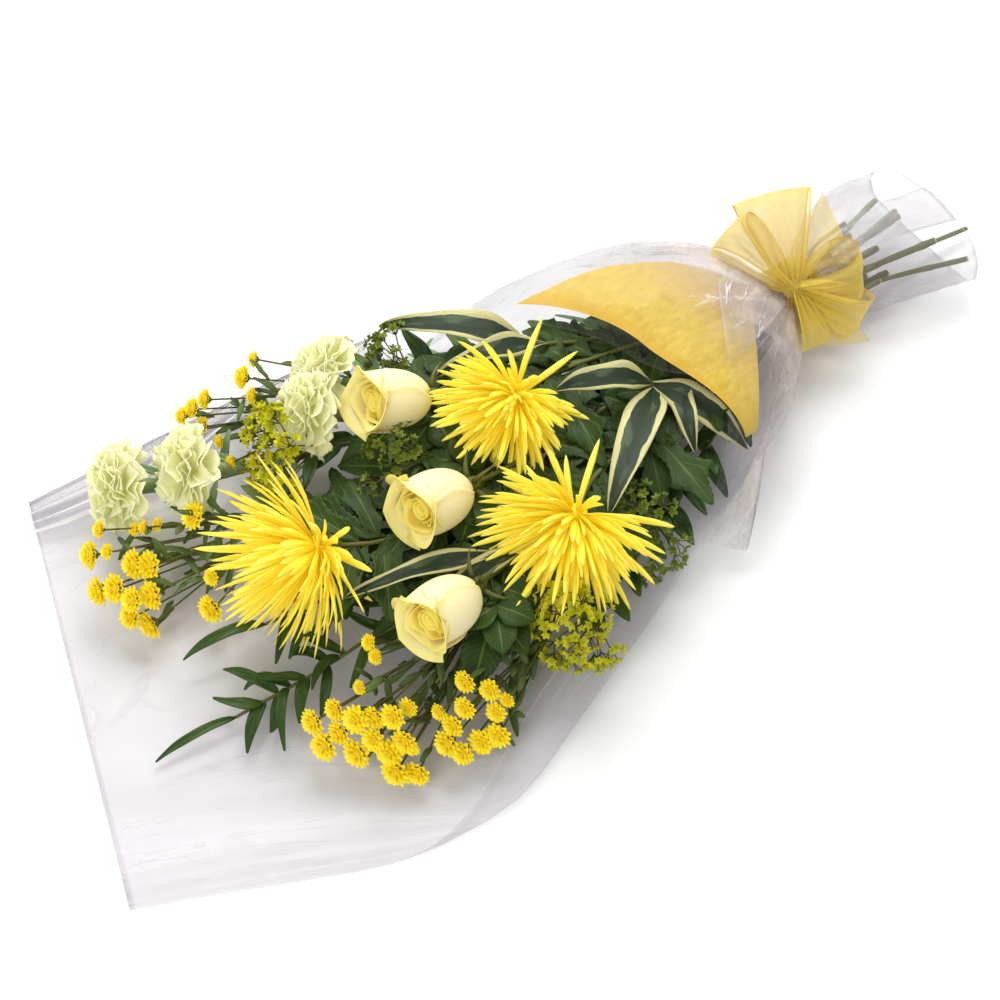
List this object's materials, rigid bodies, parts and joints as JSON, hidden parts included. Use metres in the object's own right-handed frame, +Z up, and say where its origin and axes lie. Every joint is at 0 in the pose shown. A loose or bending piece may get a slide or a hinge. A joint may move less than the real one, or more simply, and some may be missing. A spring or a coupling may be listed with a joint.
{
  "type": "mixed flower bouquet",
  "caption": "Hand-tied sheaf of yellow and cream cut flowers with mixed foliage, lying in a clear film wrapper with a yellow inner sleeve and a sheer ribbon bow.",
  "frame": {"origin": "the middle of the footprint, on the surface that the sheaf lies on", "axes": "+X along the sheaf towards the cut stem ends, +Z up out of the flowers, +Y across"},
  "size_m": [0.8306, 0.3965, 0.1277],
  "materials": {
    "film": "clear, glossy, creased",
    "sleeve": "thin non-woven, slightly see-through",
    "ribbon": "sheer woven",
    "tie": "matte",
    "yellow_petals": "soft, matte",
    "cream_petals": "soft satin",
    "pale_green_petals": "soft, matte",
    "leaf_green": "matte to satin",
    "grey_green": "waxy",
    "button_yellow": "soft, matte",
    "lime_green": "matte",
    "ruscus_green": "satin",
    "striped_green": "satin, with cream margins"
  },
  "bodies": {
    "root": {"wrapper": "film", "tissue": "sleeve", "tie": "tie", "ribbon_band": "ribbon", "ribbon_bow": "ribbon", "mum_1_bloom": "yellow_petals", "mum_1": "leaf_green", "mum_2_bloom": "yellow_petals", "mum_2": "leaf_green", "mum_3_bloom": "yellow_petals", "mum_3": "leaf_green", "rose_1_bloom": "cream_petals", "rose_1": "leaf_green", "rose_2_bloom": "cream_petals", "rose_2": "leaf_green", "rose_3_bloom": "cream_petals", "rose_3": "leaf_green", "carnation_1_bloom": "pale_green_petals", "carnation_1": "grey_green", "carnation_2_bloom": "pale_green_petals", "carnation_2": "grey_green", "carnation_3_bloom": "pale_green_petals", "carnation_3": "grey_green", "carnation_4_bloom": "pale_green_petals", "carnation_4": "grey_green", "buttons_1": "button_yellow", "buttons_2": "button_yellow", "buttons_3": "button_yellow", "buttons_4": "button_yellow", "thorow_wax_1": "lime_green", "thorow_wax_2": "lime_green", "thorow_wax_3": "lime_green", "thorow_wax_4": "lime_green", "thorow_wax_5": "lime_green", "ruscus_1": "ruscus_green", "ruscus_2": "ruscus_green", "dracaena_1": "striped_green", "dracaena_2": "striped_green", "dracaena_3": "striped_green"}
  },
  "joints": []
}
